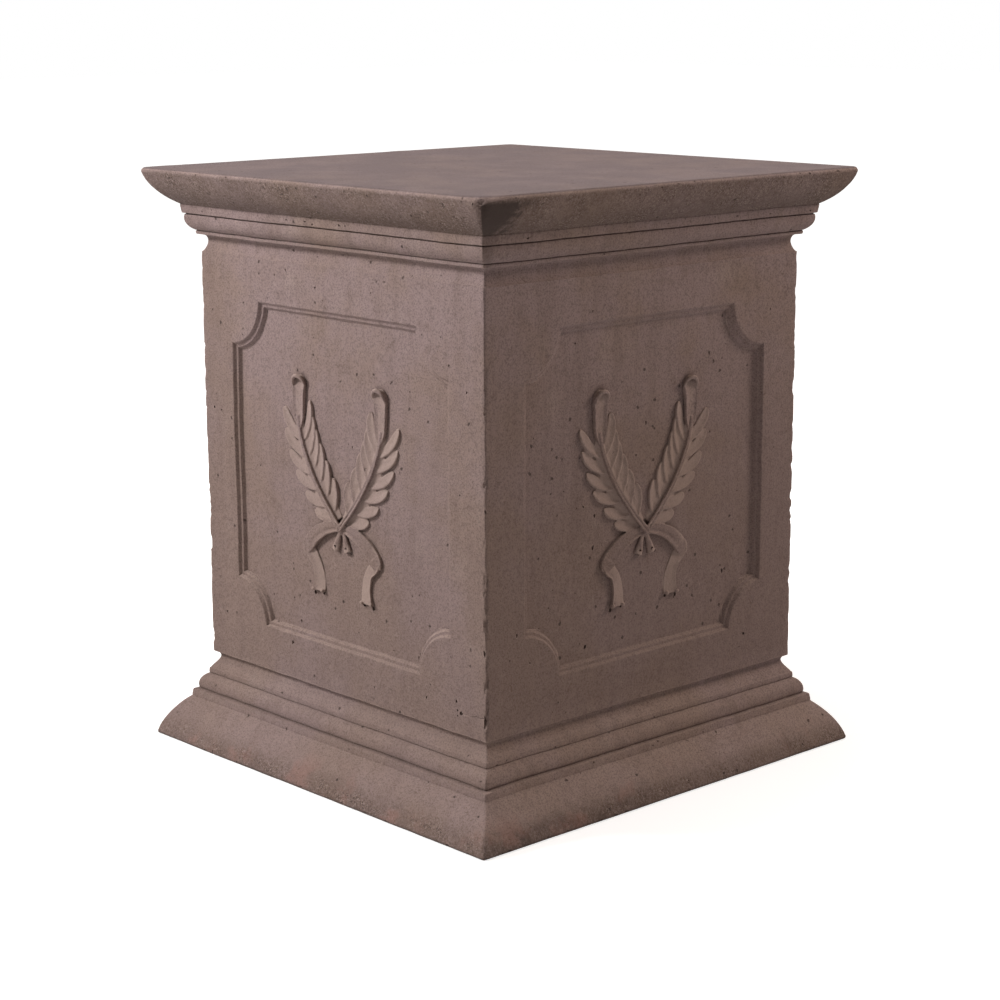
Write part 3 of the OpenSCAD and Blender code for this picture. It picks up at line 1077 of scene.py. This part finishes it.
    relief = bump(0.6, 0.4, grains)
    relief = bump(0.6, 1.0, clouds(7, 5, 0.65), relief)
    relief = bump(0.8, 0.8, product(crust, clouds(2.6, 4, 0.8)), relief)
    relief = bump(1, 0.8, pin, relief, invert=True)
    shader = add_node(tree, "ShaderNodeBsdfPrincipled",
                      {"Base Color": skin, "Roughness": 0.9, "Specular IOR Level": 0.25, "Normal": relief})
    add_node(tree, "ShaderNodeOutputMaterial", {"Surface": shader.outputs[0]})
    return material


def seen_directly(tree):
    """One for the camera's own view and for what gloss and glass show of it, else zero."""
    path = add_node(tree, "ShaderNodeLightPath").outputs
    return math_node(tree, "MAXIMUM", path["Is Camera Ray"], path["Is Glossy Ray"],
                     path["Is Transmission Ray"])


def pale_floor():
    """Matt white studio floor: near the object it keeps the shadow, further off it is plain white."""
    material = bpy.data.materials.new("matt_white_studio_floor")
    tree = blank_tree(material)
    place = add_node(tree, "ShaderNodeTexCoord").outputs["Object"]
    away = add_node(tree, "ShaderNodeVectorMath", {0: place}, operation="LENGTH").outputs["Value"]
    glow_near = add_node(tree, "ShaderNodeMapRange", {"Value": away, "From Min": 0.3, "From Max": 1.1,
                                                      "To Min": 0.66, "To Max": 1.0}).outputs[0]
    glow_share = math_node(tree, "MULTIPLY", seen_directly(tree), glow_near)
    diffuse = add_node(tree, "ShaderNodeBsdfDiffuse", {"Color": "#cfcfcf"})
    glow = add_node(tree, "ShaderNodeEmission", {"Color": "#ffffff", "Strength": glow_share})
    both = add_node(tree, "ShaderNodeAddShader", {0: diffuse.outputs[0], 1: glow.outputs[0]})
    add_node(tree, "ShaderNodeOutputMaterial", {"Surface": both.outputs[0]})
    return material


def finish_piece(obj, material):
    """Gives a piece its stone, smooth shading across soft edges, and its place in the frame."""
    obj.data.materials.clear()
    obj.data.materials.append(material)
    activate(obj)
    bpy.ops.object.shade_smooth_by_angle(angle=math.radians(32))
    apply(obj, "WEIGHTED_NORMAL", keep_sharp=True)
    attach(obj, "root")


# -------- operators

class PEDESTAL_OT_block(bpy.types.Operator):
    """Model the block: mouldings, panels, air holes and chipped edges"""
    bl_idname = "pedestal.block"
    bl_label = "Moulded block"

    def execute(self, context):
        scene = context.scene
        sizes, panel, wear = scene.pedestal_block, scene.pedestal_panel, scene.pedestal_wear
        block = build_block(sizes)
        middle = panel_middle(sizes, panel)
        master = panel_cutter(panel)
        cutters = [copy_of(master, face_matrix(turn, sizes.shaft_width / 2, middle)) for turn in range(4)]
        bpy.data.objects.remove(master)
        cut(block, join(cutters, "panel_cutters"))
        wander(block, sizes.wobble, ((0.09, 1.0), (0.028, 0.6), (0.011, 0.45)))
        crumble_edges(block, sizes)
        wear_corners(block, sizes)
        scatter = Scatter(random.Random(wear.seed))
        add_crack_holes(scatter, sizes)
        add_ribbon_holes(scatter, sizes, panel, middle)
        add_air_holes(scatter, wear, sizes, panel, middle)
        add_chips(scatter, wear, sizes)
        add_mould_holes(scatter, sizes)
        crack = crack_cutter(sizes, scatter.rng)
        cut(block, join([scatter.cutter(), crack], "wear_cutters"))
        finish_piece(block, stone_material(scene))
        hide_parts("pedestal")
        return {"FINISHED"}


class PEDESTAL_OT_laurels(bpy.types.Operator):
    """Model the laurel motif once and set a copy of it in each panel"""
    bl_idname = "pedestal.laurels"
    bl_label = "Laurel motifs"

    def execute(self, context):
        scene = context.scene
        sizes, panel, motif = scene.pedestal_block, scene.pedestal_panel, scene.pedestal_motif
        master = build_motif(motif)
        middle = panel_middle(sizes, panel)
        ground = sizes.shaft_width / 2 - panel.depth
        for turn, side in enumerate(("front", "right", "back", "left")):
            laurel = copy_of(master, face_matrix(turn, ground, middle - panel.knot_drop))
            laurel.name = "laurel_" + side
            laurel.data.name = laurel.name
            wander(laurel, 0.25 * MM, ((0.02, 1.0), (0.005, 0.8)))
            finish_piece(laurel, stone_material(scene))
        bpy.data.objects.remove(master)
        return {"FINISHED"}


class PEDESTAL_OT_stage(bpy.types.Operator):
    """Set the floor, the soft lamps, the white surroundings and the camera"""
    bl_idname = "pedestal.stage"
    bl_label = "Stage"

    def execute(self, context):
        scene = context.scene
        stage = scene.pedestal_stage
        deselect()
        bpy.ops.mesh.primitive_plane_add(size=30)
        floor = context.active_object
        floor.name = "floor"
        floor.data.materials.append(pale_floor())

        azimuth, elevation = math.radians(stage.azimuth), math.radians(stage.elevation)
        back = Vector((math.sin(azimuth) * math.cos(elevation), -math.cos(azimuth) * math.cos(elevation),
                       math.sin(elevation)))
        side = Vector((math.cos(azimuth), math.sin(azimuth), 0))
        aim = Vector((0, 0, stage.aim_height)) + side * 0.002 * HEIGHT
        turn = (Matrix.Rotation(azimuth, 4, "Z") @ Matrix.Rotation(math.pi / 2 - elevation, 4, "X")
                @ Matrix.Rotation(math.radians(stage.roll), 4, "Z"))
        bpy.ops.object.camera_add(location=aim + back * stage.distance, rotation=turn.to_euler())
        camera = context.active_object
        camera.data.lens = stage.lens
        camera.data.sensor_width = 36
        scene.camera = camera

        middle = Vector((0, 0, HEIGHT / 2))
        lamps = (
            ("key_left", (-1.35, -1.6, 1.55), 0.6, 58, "#fffcfb"),
            ("fill_right", (0.9, 1.6, 1.3), 0.6, 20, "#ffeddf"),
            ("top_soft", (0.15, -0.15, 2.6), 1.4, 24, "#fffaf6"),
        )
        for name, place, size, watts, hue in lamps:
            direction = middle - Vector(place)
            bpy.ops.object.light_add(type="AREA", location=place,
                                     rotation=direction.to_track_quat("-Z", "Y").to_euler())
            lamp = context.active_object
            lamp.name = name
            lamp.data.shape = "DISK"
            lamp.data.size = size
            lamp.data.energy = watts
            lamp.data.color = linear(hue)[:3]

        scene.world = bpy.data.worlds.new("white_surroundings")
        tree = blank_tree(scene.world)
        seen = seen_directly(tree)
        strength = add_node(tree, "ShaderNodeMapRange",
                            {"Value": seen, "To Min": 0.15, "To Max": 1.0}).outputs[0]
        white = add_node(tree, "ShaderNodeBackground",
                         {"Color": blend(tree, seen, "#fff0e6", "#ffffff"), "Strength": strength})
        add_node(tree, "ShaderNodeOutputWorld", {"Surface": white.outputs[0]})
        scene.view_settings.view_transform = "Standard"
        return {"FINISHED"}


def stone_material(scene):
    """The one stone, made the first time that a piece asks for it."""
    found = bpy.data.materials.get("wet_cast_brown_stone")
    return found or cast_stone(scene.pedestal_colours)


class PEDESTAL_PT_panel(bpy.types.Panel):
    bl_label = "Pedestal"
    bl_idname = "PEDESTAL_PT_panel"
    bl_space_type = "VIEW_3D"
    bl_region_type = "UI"
    bl_category = "Pedestal"

    def draw(self, context):
        for operator in OPERATORS:
            self.layout.operator(operator.bl_idname)
        for name in GROUPS:
            group = getattr(context.scene, name)
            box = self.layout.box()
            for prop in group.bl_rna.properties:
                if prop.identifier not in ("rna_type", "name"):
                    box.prop(group, prop.identifier)


GROUPS = {
    "pedestal_block": BlockSizes,
    "pedestal_panel": PanelSizes,
    "pedestal_motif": MotifSizes,
    "pedestal_wear": WearSettings,
    "pedestal_colours": StoneColours,
    "pedestal_stage": StageSettings,
}
OPERATORS = (PEDESTAL_OT_stage, PEDESTAL_OT_block, PEDESTAL_OT_laurels)


def register():
    for cls in (*GROUPS.values(), *OPERATORS, PEDESTAL_PT_panel):
        bpy.utils.register_class(cls)
    for name, group in GROUPS.items():
        setattr(bpy.types.Scene, name, bpy.props.PointerProperty(type=group))


def unregister():
    for name in GROUPS:
        delattr(bpy.types.Scene, name)
    for cls in reversed((*GROUPS.values(), *OPERATORS, PEDESTAL_PT_panel)):
        bpy.utils.unregister_class(cls)


def main():
    register()
    bpy.ops.pedestal.stage()
    bpy.ops.pedestal.block()
    bpy.ops.pedestal.laurels()


if __name__ == "__main__":
    main()
